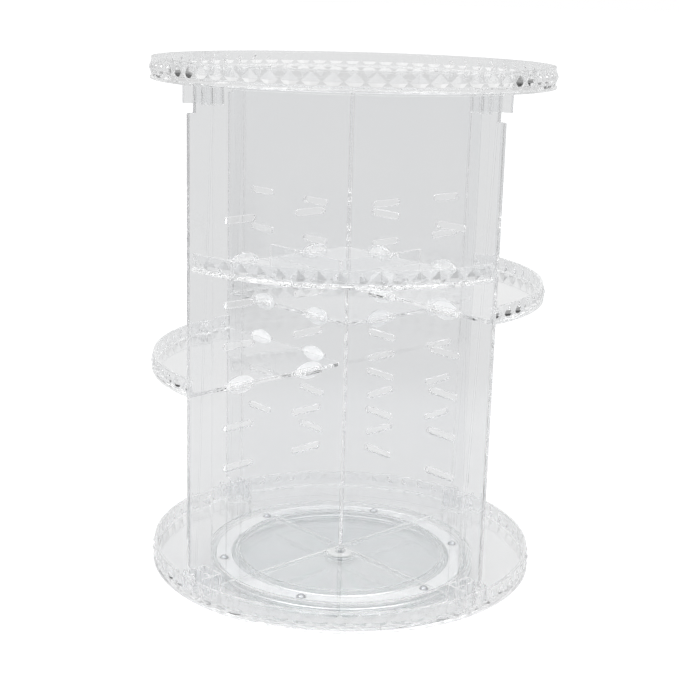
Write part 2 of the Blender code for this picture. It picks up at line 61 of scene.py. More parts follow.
SHARP_ANGLE = 50.0           # edges sharper than this stay sharp in smooth shading

# Camera, fitted to the photograph
CAMERA_DISTANCE = 787.1
CAMERA_HEIGHT = 341.1
CAMERA_YAW = -0.04116
CAMERA_PAN = -0.004971
CAMERA_TILT = 0.246652
CAMERA_ROLL = 0.026836
FOCAL_PIXELS = 1365.58
FRAME_PIXELS = 679
SENSOR = 36.0
CLIP_START = 0.01
CLIP_END = 200.0

# Rims and their diamonds, as in the CAD
RIM_TOP_RADIUS = 113.6
RIM_LOW_RADIUS = RIM_TOP_RADIUS + 0.8
BAND_RADIUS = RIM_TOP_RADIUS - 0.3
RIM_INNER_RADIUS = RIM_TOP_RADIUS - 1.9
BAND_STEP = 0.5
RIM_HEIGHT = 12.0
LOW_BAND = 1.6
TOP_EDGE = 1.2
SHELF_RIM_HEIGHT = 9.8
SHELF_LOW_BAND = 2.1
SHELF_TOP_EDGE = 0.5
DIAMOND_RISE = 1.7
DIAMOND_GAP = 1.0
DIAMOND_HALF_HEIGHT = (RIM_HEIGHT - LOW_BAND - TOP_EDGE) / 2
DIAMOND_CUT = SHELF_LOW_BAND + 2 * DIAMOND_HALF_HEIGHT + SHELF_TOP_EDGE - SHELF_RIM_HEIGHT
DIAMOND_BEVEL = 0.16
TRAY_DIAMONDS = 66
TRAY_PITCH = 360.0 / TRAY_DIAMONDS
SHELF_PITCH = 5.35
SHELF_HALF_DIAMONDS = 8
FLOOR_RISE = 1.0
FLOOR_THICKNESS = 2.2
FLOOR_FILLET = 1.2
FLOOR_FOOT_FILLET = 0.2      # where the underside of a tray's floor meets the rim
EDGE_ROUND = 0.35
LIP_ROUND = 0.1
SHELF_LIP_ROUND = 0.25
SHELF_FOOT_CUT = 0.1         # the middle of the rounded lowest edge of a shelf's rim

# Crossed panels
PANEL_THICKNESS = 2.2
EDGE_THICKNESS = 2.8
EDGE_WIDTH = 16.2
WING_RADIUS = RIM_TOP_RADIUS + 1.6
WING_END_RADIUS = RIM_INNER_RADIUS - 0.4
SLOT_COLUMNS = (30.5, 81.0)
SLOT_LENGTH = 21.2
SLOT_HEIGHT = 3.6
SLOT_ROWS = 7
FIRST_ROW = 73.3
ROW_PITCH = 23.42
LAP_HEIGHT = 145.0
LOW_NOTCH = RIM_HEIGHT + 3.3
TOP_TRAY_RISE = 285.7
SHEET_BEVEL = 0.5
SHEET_SEGMENTS = 3
STRIP_ROUND = 0.3
NOTCH_ROUND = 0.4
WING_ROUND = 0.8
SLOT_BEVEL = 0.25
SLOT_BEND = 0.3 * SLOT_BEVEL     # the middle of the bevel lies nearer to its corner
SLOT_OVERCUT = 1.0
SAWN_EDGE = 0.6

# Corner sockets
SOCKET_LENGTH = 14.2
SOCKET_END = RIM_INNER_RADIUS + 0.5
SOCKET_START = SOCKET_END - SOCKET_LENGTH
SOCKET_HALF_WIDTH = 9.0
SOCKET_WALL = 1.6
SOCKET_HEIGHT = 11.5
SOCKET_DROP = 10.5
SOCKET_BEVEL = 0.2
SOCKET_ROUND = 1.2
SOCKET_FILLET = 0.5
SLIT_ROUND = 0.3
SLIT_HALF_WIDTH = EDGE_THICKNESS / 2 + CLEARANCE
HIGH_NOTCH = TOP_TRAY_RISE + FLOOR_RISE - SOCKET_DROP - 4.2

# Shelves
SIDE_OFFSET = PANEL_THICKNESS / 2 + 0.6
CORNER_RADIUS = 5.0
CORNER_STEPS = 9
SHELF_EDGE_ANGLE = 60.0      # edges of the floor sharper than this are bevelled
SHELF_EDGE_BEVEL = 0.3
TAB_LENGTH = 13.0
TAB_INSET = 2.4
TAB_THROUGH = 2.6
TAB_ROOT = 1.5               # how far a hook starts inside the shelf
TAB_SHY = 0.1                # a hook is this much thinner than the floor on each face
TAB_ROUND = 0.6
TAB_BEVEL = 0.25
COLLAR_LENGTH = 19.0
COLLAR_HEIGHT = 10.3
COLLAR_THICKNESS = 1.7
COLLAR_SHY = 0.1             # a collar's flat face stands this much proud of the shelf's side
COLLAR_STEPS = 48
COLLAR_MARGIN = 1.02         # how far round an oval its faces are looked for
COLLAR_DOME = (
    # depth from the side of the shelf, share of the collar's size
    (-COLLAR_SHY, 1.0), (0.6, 1.0), (0.95, 0.97), (1.3, 0.9), (1.55, 0.81), (COLLAR_THICKNESS, 0.72),
)
DIVIDER_DISTANCE = 60.0
DIVIDER_THICKNESS = 1.6
DIVIDER_INSET = 0.2          # from the shelf's side and from the top of its rim
DIVIDER_RISE = 1.0           # a divider starts inside the floor, this far above its underside
DIVIDER_BEVEL = 0.25

# Turntable
BALL_COUNT = 6
BALL_CIRCLE = 72.5
BALL_POCKET = 3.0
POCKET_STEPS = 36
CAGE_INNER = BALL_CIRCLE - 5.1
CAGE_OUTER = BALL_CIRCLE + 4.1
CAGE_THICKNESS = 2.0
CAGE_ROUND = 0.5
RACE_RIBS = ((CAGE_INNER - 2.2, CAGE_INNER - 0.7), (CAGE_OUTER + 0.7, CAGE_OUTER + 2.2))
RACE_RIB_HEIGHT = 1.7
TRAY_RIBS = ((RACE_RIBS[0][0] - 2.6, RACE_RIBS[0][0] - 0.9),
             (RACE_RIBS[1][1] + 0.9, RACE_RIBS[1][1] + 2.6))
TRAY_RIB_DEPTH = 3.6
RIB_FILLET = 0.4
RIB_ROUND = 0.3              # the lower edges of the ribs under the tray
BALL_WEAR = 0.004            # share of its radius that the worn ring of a ball has lost
BALL_WEAR_ANGLE = 8.0
BALL_TILT = 37.0
BALL_RINGS = 32
FOOT_COUNT = 6
FOOT_RADIUS = 6.0
FOOT_ROUND = 0.15
FOOT_SLOPE = (0.7, 0.3)      # how far in and up the lower edge of a foot is cut off
FOOT_SLOPE_ROUNDS = (0.4, 0.3)
PLATE_THICKNESS = 2.0
PLATE_ROUND = 0.7
PLATE_LOW_ROUND = 0.5
POST_RADIUS = 3.0
POST_ROUND = 0.3
POST_FILLET = 0.5
BORE_ROUND = 0.1
BORE_ROOF = 1.0              # plastic left above the screw's bore
BOSS_RADIUS = 9.5
BOSS_WALL = 1.6
BOSS_HEIGHT = 2.0
BOSS_ROUND = 0.3
BOSS_FILLET = 0.6
HOLE_ROUND = 0.2
WELL_ROOF = 0.5              # the well under the boss ends this far above the plate
SCREW_SHANK = 1.4
SCREW_HEAD = 3.4
SCREW_HEAD_HEIGHT = 1.4
SCREW_FACE = 0.7             # share of the head's radius that its flat face takes
SCREW_SLOPE = 0.8            # height of the head's slope beside the face
CROSS_REACH = 1.9
CROSS_HALF_WIDTH = 0.35
CROSS_DEPTH = 0.8
NYLON_ROUND = 0.3
WASHER_ROUND = 0.15
SPOKE_START = BOSS_RADIUS + 1
SPOKE_WIDTH = 2.6
SPOKE_DEPTH = 1.6
SPOKE_BEVEL = 0.9
SPOKE_SEGMENTS = 4
GATE_RADIUS = 15.9
GATE_ANGLE = 130.0
GATE_MARK = 2.4
GATE_DOME = ((1.0, 0.0), (0.8, 0.25), (0.4, 0.35), (0.0, 0.38))   # share of the mark's radius, height

WINGS = (45.0, 135.0, 225.0, 315.0)
QUARTERS = {"front": 0.0, "right": 90.0, "back": 180.0, "left": 270.0}

# Heights, from the frame
BASE_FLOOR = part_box("base_tray")[1].z / MM - SOCKET_HEIGHT
BASE_LOW = BASE_FLOOR - FLOOR_THICKNESS - FLOOR_RISE
POST_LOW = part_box("base_tray")[0].z / MM
PLATE_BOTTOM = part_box("turntable_base")[0].z / MM
PLATE_TOP = PLATE_BOTTOM + PLATE_THICKNESS
PLATE_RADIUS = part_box("turntable_base")[1].x / MM
BALLS = [f"ball_{i + 1}" for i in range(BALL_COUNT)]
BALL_MIDDLE = (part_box(BALLS[0])[0].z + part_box(BALLS[0])[1].z) / 2 / MM


def polar(radius, degrees, z):
    """A point at an angle from the front, growing towards the right."""
    a = math.radians(degrees)
    return Vector((radius * math.sin(a), -radius * math.cos(a), z))


def wing_matrix(degrees):
    """Turns +X into the direction of the wing at this angle from the front."""
    return Matrix.Rotation(math.radians(degrees - 90.0), 4, "Z")


def upright_matrix(degrees):
    """Stands a flat outline up in the plane of the wing at this angle: +X along it, +Y upwards."""
    return wing_matrix(degrees) @ Matrix.Rotation(math.pi / 2, 4, "X")


def rectangle(x0, x1, y0, y1):
    return [(x0, y0), (x1, y0), (x1, y1), (x0, y1)]


def rounded(points, closed=True):
    """An outline whose (x, y, radius) corners are rounded with arcs."""
    done = []
    count = len(points)
    for i, (x, y, radius) in enumerate(points):
        here = Vector((x, y))
        if not radius or (not closed and i in (0, count - 1)):
            done.append(here)
            continue
        before = Vector(points[i - 1][:2]) - here
        after = Vector(points[(i + 1) % count][:2]) - here
        half = before.angle(after) / 2
        reach = min(radius / math.tan(half), LONGEST_REACH * before.length, LONGEST_REACH * after.length)
        radius = reach * math.tan(half)
        centre = here + (before.normalized() + after.normalized()).normalized() * radius / math.sin(half)
        start = here + before.normalized() * reach - centre
        end = here + after.normalized() * reach - centre
        sweep = start.angle_signed(end)
        steps = max(1, round(math.degrees(abs(sweep)) / ARC_STEP))
        for k in range(steps + 1):
            done.append(centre + Matrix.Rotation(-sweep * k / steps, 2) @ start)
    return [(p.x, p.y) for p in done]


def shell(name, bm):
    """A mesh object from a bmesh drawn in millimetres."""
    bmesh.ops.remove_doubles(bm, verts=bm.verts, dist=WELD)
    bmesh.ops.recalc_face_normals(bm, faces=bm.faces)
    bmesh.ops.scale(bm, vec=(MM, MM, MM), verts=bm.verts)
    mesh = bpy.data.meshes.new(name)
    bm.to_mesh(mesh)
    bm.free()
    made = bpy.data.objects.new(name, mesh)
    bpy.context.scene.collection.objects.link(made)
    return made


def discard(made):
    mesh = made.data
    bpy.data.objects.remove(made, do_unlink=True)
    bpy.data.meshes.remove(mesh)


def combined(piece, others, operation="UNION"):
    """Applies a Boolean with each other object, and removes those."""
    for other in others:
        change = piece.modifiers.new("join", "BOOLEAN")
        change.operation = operation
        change.solver = "MANIFOLD"
        change.object = other
    bpy.context.view_layer.update()
    old = piece.data
    new = bpy.data.meshes.new_from_object(piece.evaluated_get(bpy.context.evaluated_depsgraph_get()))
    piece.modifiers.clear()
    piece.data = new
    bpy.data.meshes.remove(old)
    for other in others:
        discard(other)
    bm = bmesh.new()
    bm.from_mesh(piece.data)
    bmesh.ops.triangulate(bm, faces=[f for f in bm.faces if len(f.verts) > 4])
    bmesh.ops.remove_doubles(bm, verts=bm.verts, dist=BOOLEAN_WELD * MM)
    bmesh.ops.dissolve_degenerate(bm, edges=bm.edges, dist=BOOLEAN_SLIVER * MM)
    bm.to_mesh(piece.data)
    bm.free()
    return piece


def finished(piece, surface, body, nodes):
    """Smooth shading that keeps flats flat, then the surface, the body and the replaced nodes."""
    piece.data.shade_smooth()
    piece.data.set_sharp_from_angle(angle=math.radians(SHARP_ANGLE))
    weigh = piece.modifiers.new("flat_faces", "WEIGHTED_NORMAL")
    weigh.keep_sharp = True
    piece.data.materials.clear()
    piece.data.materials.append(surface)
    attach(piece, body)
    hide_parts(*nodes)
    return piece


def lofted(bm, rings):
    """The walls between rings of points, and a cap at both ends."""
    bm.faces.new(rings[0][::-1])
    bm.faces.new(rings[-1])
    for here, there in zip(rings, rings[1:]):
        for i in range(len(here)):
            j = (i + 1) % len(here)
            bm.faces.new((here[i], here[j], there[j], there[i]))


def bevelled(bm, edges, offset, segments=2):
    bmesh.ops.bevel(bm, geom=edges, offset=offset, segments=segments, profile=0.5, affect="EDGES")


def raised(bm, outline, low, high, matrix=None, bevel=0.0, segments=2):
    """A flat outline of (x, y) points raised from low to high, with bevelled edges."""
    own = bmesh.new()
    lofted(own, [[own.verts.new((x, y, z)) for x, y in outline] for z in (low, high)])
    if bevel:
        bmesh.ops.recalc_face_normals(own, faces=own.faces)
        limit = math.radians(BEVELLED_ANGLE)
        bevelled(own, [e for e in own.edges if abs(e.calc_face_angle(0)) > limit], bevel, segments)
    own.transform(matrix or Matrix.Identity(4))
    mesh = bpy.data.meshes.new("part")
    own.to_mesh(mesh)
    own.free()
    bm.from_mesh(mesh)
    bpy.data.meshes.remove(mesh)


def turned(name, outline, steps):
    """A closed outline of (radius, z) points turned about the axis. Radius 0 closes on the axis."""
    bm = bmesh.new()
    rings = [[bm.verts.new(polar(r, 360.0 * i / steps, z)) for r, z in outline] for i in range(steps)]
    for i in range(steps):
        here, there = rings[i], rings[(i + 1) % steps]
        for k in range(len(outline)):
            n = (k + 1) % len(outline)
            if outline[k][0] == 0 and outline[n][0] == 0:
                continue
            corners = [here[k], there[k], there[n], here[n]]
            if outline[k][0] == 0:
                corners = [here[k], there[n], here[n]]
            elif outline[n][0] == 0:
                corners = [here[k], there[k], here[n]]
            bm.faces.new(corners)
    return shell(name, bm)


def rim(bm, z, height, low_band, top_edge, cut, cells, below, above):
    """A wall of diamonds. Each cell is (left, peak, right) in degrees; below and above are the open
    outlines of (radius, z) under and over the band. Returns the stations' points and the ridges."""
    low = z + low_band
    high = z + height - top_edge
    middle = high - DIAMOND_HALF_HEIGHT
    share = cut / DIAMOND_HALF_HEIGHT
    stations, ridges = [], []
    for left, peak, right in cells:
        columns = []
        for angle in (left, peak, right):
            columns.append({"below": [bm.verts.new(polar(r, angle, h)) for r, h in below],
                            "above": [bm.verts.new(polar(r, angle, h)) for r, h in above]})
            columns[-1]["under"] = columns[-1]["below"][-1]
            columns[-1]["over"] = columns[-1]["above"][0]
        a, c, b = columns
        a["side"] = bm.verts.new(polar(BAND_RADIUS, left, middle))
        b["side"] = bm.verts.new(polar(BAND_RADIUS, right, middle))
        tip = bm.verts.new(polar(BAND_RADIUS + DIAMOND_RISE, peak, middle))
        feet = {}
        if cut:
            c["under"].co = polar(BAND_RADIUS + share * DIAMOND_RISE, peak, low)
            for key, column in (("a", a), ("b", b)):
                foot = Vector(polar(BAND_RADIUS, peak, low)).lerp(column["side"].co, share)
                foot.z = low
                feet[key] = bm.verts.new(foot)
        for key, column in (("a", a), ("b", b)):
            foot = feet.get(key)
            side = column["side"]
            bm.faces.new([c["over"], side, tip])
            bm.faces.new([c["under"], tip, side] + ([foot] if foot else []))
            bm.faces.new([column["over"], side, c["over"]])
            bm.faces.new([column["under"], foot or c["under"], side])
            ridges += [(c["over"], side), (side, foot or c["under"]), (tip, side)]
            for k in range(len(below) - 1):
                p, q = column["below"][k], column["below"][k + 1]
                r, s = c["below"][k], c["below"][k + 1]
                cut_short = foot and k == len(below) - 2
                bm.faces.new([p, r, s, foot, q] if cut_short else [p, r, s, q])
            for k in range(len(above) - 1):
                bm.faces.new([column["above"][k], c["above"][k], c["above"][k + 1], column["above"][k + 1]])
        ridges += [(c["over"], tip), (tip, c["under"])]
        stations.append((a, c, b))
    return stations, ridges


def gap_faces(bm, one, two):
    """The wall between the right side of one cell and the left side of the next."""
    for key in ("below", "above"):
        for k in range(len(one[key]) - 1):
            bm.faces.new([one[key][k], two[key][k], two[key][k + 1], one[key][k + 1]])
    bm.faces.new([one["under"], two["under"], two["side"], one["side"]])
    bm.faces.new([one["side"], two["side"], two["over"], one["over"]])


def bevel_ridges(bm, ridges):
    bmesh.ops.recalc_face_normals(bm, faces=bm.faces)
    bevelled(bm, [e for e in (bm.edges.get(pair) for pair in ridges) if e], DIAMOND_BEVEL)


def half_diamond(pitch):
    """Half of a diamond's width, in degrees."""
    return pitch / 2 - math.degrees(DIAMOND_GAP / 2 / BAND_RADIUS)


def tray(name, z, inside):
    """A tray's rim and floor. inside is the open outline under the floor, from the axis outwards."""
    bm = bmesh.new()
    under, top = z + FLOOR_RISE, z + FLOOR_RISE + FLOOR_THICKNESS
    low, high = z + LOW_BAND, z + RIM_HEIGHT - TOP_EDGE
    below = rounded(inside + [(RIM_INNER_RADIUS, under, FLOOR_FOOT_FILLET), (RIM_INNER_RADIUS, z, EDGE_ROUND),
                              (RIM_LOW_RADIUS, z, EDGE_ROUND),
                              (RIM_LOW_RADIUS, low - BAND_STEP, EDGE_ROUND), (BAND_RADIUS, low, 0)],
                    closed=False)
    above = rounded([(BAND_RADIUS, high, 0), (RIM_TOP_RADIUS, high, LIP_ROUND),
                     (RIM_TOP_RADIUS, z + RIM_HEIGHT, EDGE_ROUND),
                     (RIM_INNER_RADIUS, z + RIM_HEIGHT, EDGE_ROUND), (RIM_INNER_RADIUS, top, FLOOR_FILLET),
                     (RIM_INNER_RADIUS - 2 * FLOOR_FILLET, top, 0)], closed=False)
    half = half_diamond(TRAY_PITCH)
    peaks = [(i + 0.5) * TRAY_PITCH for i in range(TRAY_DIAMONDS)]
    cells = [(peak - half, peak, peak + half) for peak in peaks]
    stations, ridges = rim(bm, z, RIM_HEIGHT, LOW_BAND, TOP_EDGE, 0.0, cells, below, above)
    for i in range(TRAY_DIAMONDS):
        gap_faces(bm, stations[i][2], stations[(i + 1) % TRAY_DIAMONDS][0])
    columns = [column for cell in stations for column in cell]
    bm.faces.new([column["above"][-1] for column in columns])
    bm.faces.new([column["below"][0] for column in columns][::-1])
    bevel_ridges(bm, ridges)
    return shell(name, bm)


def sockets(low, high):
    """Half sockets on both sides of the end of each wing."""
    bm = bmesh.new()
    rib = (SOCKET_START + SOCKET_END) / 2
    inner = SOCKET_HALF_WIDTH - SOCKET_WALL
    outline = [(SOCKET_START, SLIT_HALF_WIDTH, SLIT_ROUND), (SOCKET_START, SOCKET_HALF_WIDTH, SOCKET_ROUND),
               (SOCKET_END, SOCKET_HALF_WIDTH, 0), (SOCKET_END, inner, 0),
               (rib + SOCKET_WALL / 2, inner, SOCKET_FILLET),
               (rib + SOCKET_WALL / 2, SLIT_HALF_WIDTH, SLIT_ROUND),
               (rib - SOCKET_WALL / 2, SLIT_HALF_WIDTH, SLIT_ROUND),
               (rib - SOCKET_WALL / 2, inner, SOCKET_FILLET),
               (SOCKET_START + SOCKET_WALL, inner, SOCKET_FILLET),
               (SOCKET_START + SOCKET_WALL, SLIT_HALF_WIDTH, SLIT_ROUND)]
    for wing in WINGS:
        for side in (-1, 1):
            raised(bm, rounded([(x, y * side, r) for x, y, r in outline]), low, high, wing_matrix(wing),
                   SOCKET_BEVEL)
    return shell("sockets", bm)


def slot_outline(x, z, half, radius):
    """A slot with round ends about its middle."""
    points = []
    for end in (1, -1):
        for k in range(round(180 / ARC_STEP) + 1):
            a = math.radians(-90 * end + ARC_STEP * k)
            points.append((x + end * half + radius * math.cos(a), z + radius * math.sin(a)))
    return points


def slot_cutters(upright):
    """Cutters for all slots of a panel, which also bevel the slots' edges."""
    bm = bmesh.new()
    half, radius = (SLOT_LENGTH - SLOT_HEIGHT) / 2, SLOT_HEIGHT / 2
    face = PANEL_THICKNESS / 2
    profile = ((face + SLOT_OVERCUT, SLOT_OVERCUT + SLOT_BEVEL), (face, SLOT_BEVEL),
               (face - SLOT_BEND, SLOT_BEND), (face - SLOT_BEVEL, 0.0))
    depths = [(-depth, grow) for depth, grow in profile] + list(reversed(profile))
    for side in (-1, 1):
        for column in SLOT_COLUMNS:
            for row in range(SLOT_ROWS):
                middle = BASE_LOW + FIRST_ROW + row * ROW_PITCH
                lofted(bm, [[bm.verts.new(upright @ Vector((x, y, depth)))
                             for x, y in slot_outline(side * column, middle, half, radius + grow)]
                            for depth, grow in depths])
    return shell("slots", bm)


def panel(name, wing, slot_from_top):
    """A panel of two wings: a sheet with its lap slot, thicker outer strips, and the hooks' slots."""
    upright = upright_matrix(wing)
    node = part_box(name)
    bottom, top = node[0].z / MM, node[1].z / MM
    low, high = BASE_LOW + LOW_NOTCH, BASE_LOW + HIGH_NOTCH
    edge_start = WING_RADIUS - EDGE_WIDTH
    lap = PANEL_THICKNESS / 2 + CLEARANCE
    split = BASE_LOW + LAP_HEIGHT
    flat = edge_start + EMBED
    outline = rectangle(-flat, flat, bottom, top)
    if slot_from_top:
        outline[3:3] = [(lap, top), (lap, split), (-lap, split), (-lap, top)]
    else:
        outline[1:1] = [(-lap, bottom), (-lap, split), (lap, split), (lap, bottom)]
    bm = bmesh.new()
    raised(bm, outline, -PANEL_THICKNESS / 2, PANEL_THICKNESS / 2, upright, SHEET_BEVEL, SHEET_SEGMENTS)
    sheet = shell(name + "_sheet", bm)
    bm = bmesh.new()
    strip = [(edge_start, bottom, STRIP_ROUND), (WING_END_RADIUS, bottom, STRIP_ROUND),
             (WING_END_RADIUS, low, NOTCH_ROUND), (WING_RADIUS, low, WING_ROUND),
             (WING_RADIUS, high, WING_ROUND), (WING_END_RADIUS, high, NOTCH_ROUND),
             (WING_END_RADIUS, top, STRIP_ROUND), (edge_start, top, STRIP_ROUND)]
    for side in (-1, 1):
        raised(bm, rounded([(side * x, h, r) for x, h, r in strip]), -EDGE_THICKNESS / 2,
               EDGE_THICKNESS / 2, upright, SHEET_BEVEL)
    strips = shell("strips", bm)
    slots = slot_cutters(upright)
    combined(sheet, [strips])
    return combined(sheet, [slots], "DIFFERENCE")


def base_tray():
    under = BASE_LOW + FLOOR_RISE
    bore = SCREW_SHANK + CLEARANCE
    inside = [(bore, under - BORE_ROOF, 0), (bore, POST_LOW, BORE_ROUND),
              (POST_RADIUS, POST_LOW, POST_ROUND), (POST_RADIUS, under, POST_FILLET)]
    for inner, outer in TRAY_RIBS:
        inside += [(inner, under, RIB_FILLET), (inner, under - TRAY_RIB_DEPTH, RIB_ROUND),
                   (outer, under - TRAY_RIB_DEPTH, RIB_ROUND), (outer, under, RIB_FILLET)]
    piece = tray("base_tray_moulding", BASE_LOW, inside)
    bm = bmesh.new()
    outline = rectangle(SPOKE_START, TRAY_RIBS[0][0] + EMBED, -SPOKE_WIDTH / 2, SPOKE_WIDTH / 2)
    for wing in WINGS:
        raised(bm, outline, under - SPOKE_DEPTH, under + EMBED, wing_matrix(wing), SPOKE_BEVEL,
               SPOKE_SEGMENTS)
    spokes = shell("spokes", bm)
    gate_low = BASE_FLOOR - EMBED
    gate = turned("gate", [(0, gate_low), (GATE_MARK, gate_low)]
                  + [(share * GATE_MARK, BASE_FLOOR + rise) for share, rise in GATE_DOME], 24)
    gate.data.transform(Matrix.Translation(polar(GATE_RADIUS, GATE_ANGLE, 0) * MM))
    return combined(piece, [sockets(BASE_FLOOR - EMBED, BASE_FLOOR + SOCKET_HEIGHT), spokes, gate])


def top_tray():
    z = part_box("top_tray")[1].z / MM - RIM_HEIGHT
    piece = tray("top_tray_moulding", z, [])
    return combined(piece, [sockets(z + FLOOR_RISE - SOCKET_DROP, z + FLOOR_RISE + EMBED)])


def collar_faces(mesh, slot_z):
    """The numbers of the collars' flat faces, on a shelf that still lies at the front."""
    found = []
    for side in (1, -1):
        back = upright_matrix(45.0 * side).inverted()
        for face in mesh.polygons:
            x, h, depth = back @ (face.center / MM)
            if not -2 * COLLAR_SHY < depth * side - SIDE_OFFSET < -COLLAR_SHY / 2:
                continue
            for column in SLOT_COLUMNS:
                across = (x - column + TAB_INSET) / (COLLAR_LENGTH / 2)
                if math.hypot(across, (h - slot_z) / (COLLAR_HEIGHT / 2)) < COLLAR_MARGIN:
                    found.append(face.index)
    return found


def side_angle(radius):
    """The angle from a shelf's middle at which a circle of this radius meets its side."""
    return 45.0 - math.degrees(math.asin(SIDE_OFFSET / radius))


def shelf_moulding(name, z, top):
    """The floor of a shelf and its rim of diamonds, with the rounded corner by the axis."""
    low, high = z + SHELF_LOW_BAND, z + SHELF_RIM_HEIGHT - SHELF_TOP_EDGE
    below = [(RIM_LOW_RADIUS - EDGE_ROUND, z), (RIM_LOW_RADIUS - SHELF_FOOT_CUT, z + SHELF_FOOT_CUT),
             (RIM_LOW_RADIUS, z + EDGE_ROUND), (RIM_LOW_RADIUS, low - BAND_STEP), (BAND_RADIUS, low)]
    above = rounded([(BAND_RADIUS, high, 0), (RIM_TOP_RADIUS, high, LIP_ROUND),
                     (RIM_TOP_RADIUS, z + SHELF_RIM_HEIGHT, SHELF_LIP_ROUND),
                     (RIM_INNER_RADIUS, z + SHELF_RIM_HEIGHT, EDGE_ROUND),
                     (RIM_INNER_RADIUS, top, FLOOR_FILLET), (RIM_INNER_RADIUS - 2 * FLOOR_FILLET, top, 0)],
                    closed=False)
    half = half_diamond(SHELF_PITCH)
    limit = side_angle(BAND_RADIUS)
    cells = []
    for k in range(-SHELF_HALF_DIAMONDS, SHELF_HALF_DIAMONDS + 1):
        peak = k * SHELF_PITCH
        cells.append((max(peak - half, -limit), peak, min(peak + half, limit)))
    bm = bmesh.new()
    stations, ridges = rim(bm, z, SHELF_RIM_HEIGHT, SHELF_LOW_BAND, SHELF_TOP_EDGE, DIAMOND_CUT, cells,
                           below, above)
    for one, two in zip(stations, stations[1:]):
        gap_faces(bm, one[2], two[0])
    centre = Vector((0.0, -(SIDE_OFFSET + CORNER_RADIUS) * math.sqrt(2), 0.0))
    arc = []
    for k in range(CORNER_STEPS + 1):
        a = math.radians(45 + 90 / CORNER_STEPS * k)
        arc.append(centre + CORNER_RADIUS * Vector((math.cos(a), math.sin(a), 0)))
    floor_low = [bm.verts.new((p.x, p.y, z)) for p in arc]
    floor_high = [bm.verts.new((p.x, p.y, top)) for p in arc]
    columns = [column for cell in stations for column in cell]
    first, last = columns[0], columns[-1]
    for column, end in ((first, -1), (last, 1)):
        for v in column["below"] + column["above"]:
            radius = math.hypot(v.co.x, v.co.y)
            v.co = polar(radius, end * side_angle(radius), v.co.z)
    bm.faces.new([column["above"][-1] for column in columns] + floor_high)
    bm.faces.new(([column["below"][0] for column in columns] + floor_low)[::-1])
    for i in range(CORNER_STEPS):
        bm.faces.new((floor_low[i], floor_high[i], floor_high[i + 1], floor_low[i + 1]))
    bm.faces.new(last["below"] + [last["side"]] + last["above"] + [floor_high[0], floor_low[0]])
    bm.faces.new((first["below"] + [first["side"]] + first["above"] + [floor_high[-1], floor_low[-1]])[::-1])
    bevel_ridges(bm, ridges)
    bevelled(bm, [e for e in bm.edges
                  if e.is_valid and all(math.hypot(v.co.x, v.co.y) < RIM_INNER_RADIUS for v in e.verts)
                  and abs(e.calc_face_angle(0)) > math.radians(SHELF_EDGE_ANGLE)], SHELF_EDGE_BEVEL)
    return shell(name, bm)


def hooks(z, top):
    """The hooks of a shelf at the front, two through each panel."""
    bm = bmesh.new()
    for side in (1, -1):
        y0, y1 = sorted((-side * (SIDE_OFFSET + TAB_ROOT), side * (PANEL_THICKNESS / 2 + TAB_THROUGH)))
        for column in SLOT_COLUMNS:
            middle = column - TAB_INSET
            corners = rectangle(middle - TAB_LENGTH / 2, middle + TAB_LENGTH / 2, y0, y1)
            raised(bm, rounded([(x, y, TAB_ROUND) for x, y in corners]), z + TAB_SHY, top - TAB_SHY,
                   wing_matrix(45.0 * side), TAB_BEVEL)
    return shell("hooks", bm)


def collars(slot_z):
    """The oval collars round the hooks, domed on the shelf's side."""
    bm = bmesh.new()
    for side in (1, -1):
        wing = upright_matrix(45.0 * side)
        for column in SLOT_COLUMNS:
            rings = []
            for depth, share in COLLAR_DOME:
                ring = []
                for i in range(COLLAR_STEPS):
                    a = 2 * math.pi * i / COLLAR_STEPS
                    x = column - TAB_INSET + share * COLLAR_LENGTH / 2 * math.cos(a)
                    h = slot_z + share * COLLAR_HEIGHT / 2 * math.sin(a)
                    ring.append(bm.verts.new(wing @ Vector((x, h, side * (SIDE_OFFSET + depth)))))
                rings.append(ring)
            lofted(bm, rings)
    return shell("collars", bm)


def divider(z, side):
    """The dividing wall beside one of the panels."""
    t = DIVIDER_THICKNESS / 2
    y0, y1 = sorted((-side * (SIDE_OFFSET + DIVIDER_INSET), -side * (DIVIDER_DISTANCE + t * side)))
    bm = bmesh.new()
    raised(bm, rectangle(DIVIDER_DISTANCE - t, DIVIDER_DISTANCE + t, y0, y1), z + DIVIDER_RISE,
           z + SHELF_RIM_HEIGHT - DIVIDER_INSET, wing_matrix(45.0 * side), DIVIDER_BEVEL)
    return shell("divider", bm)


def shelf(quarter, divided):
    """A shelf, and the numbers of its collars' flat faces."""
    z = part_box(f"shelf_{quarter}")[1].z / MM - SHELF_RIM_HEIGHT
    top = z + FLOOR_THICKNESS
    slot_z = z + SLOT_HEIGHT / 2 - CLEARANCE
    piece = shelf_moulding(f"{quarter}_shelf_moulding", z, top)
    parts = [hooks(z, top), collars(slot_z)]
    if divided:
        parts += [divider(z, side) for side in (1, -1)]
    combined(piece, parts)
    flats = collar_faces(piece.data, slot_z)
    piece.data.transform(Matrix.Rotation(math.radians(QUARTERS[quarter]), 4, "Z"))
    return piece, flats


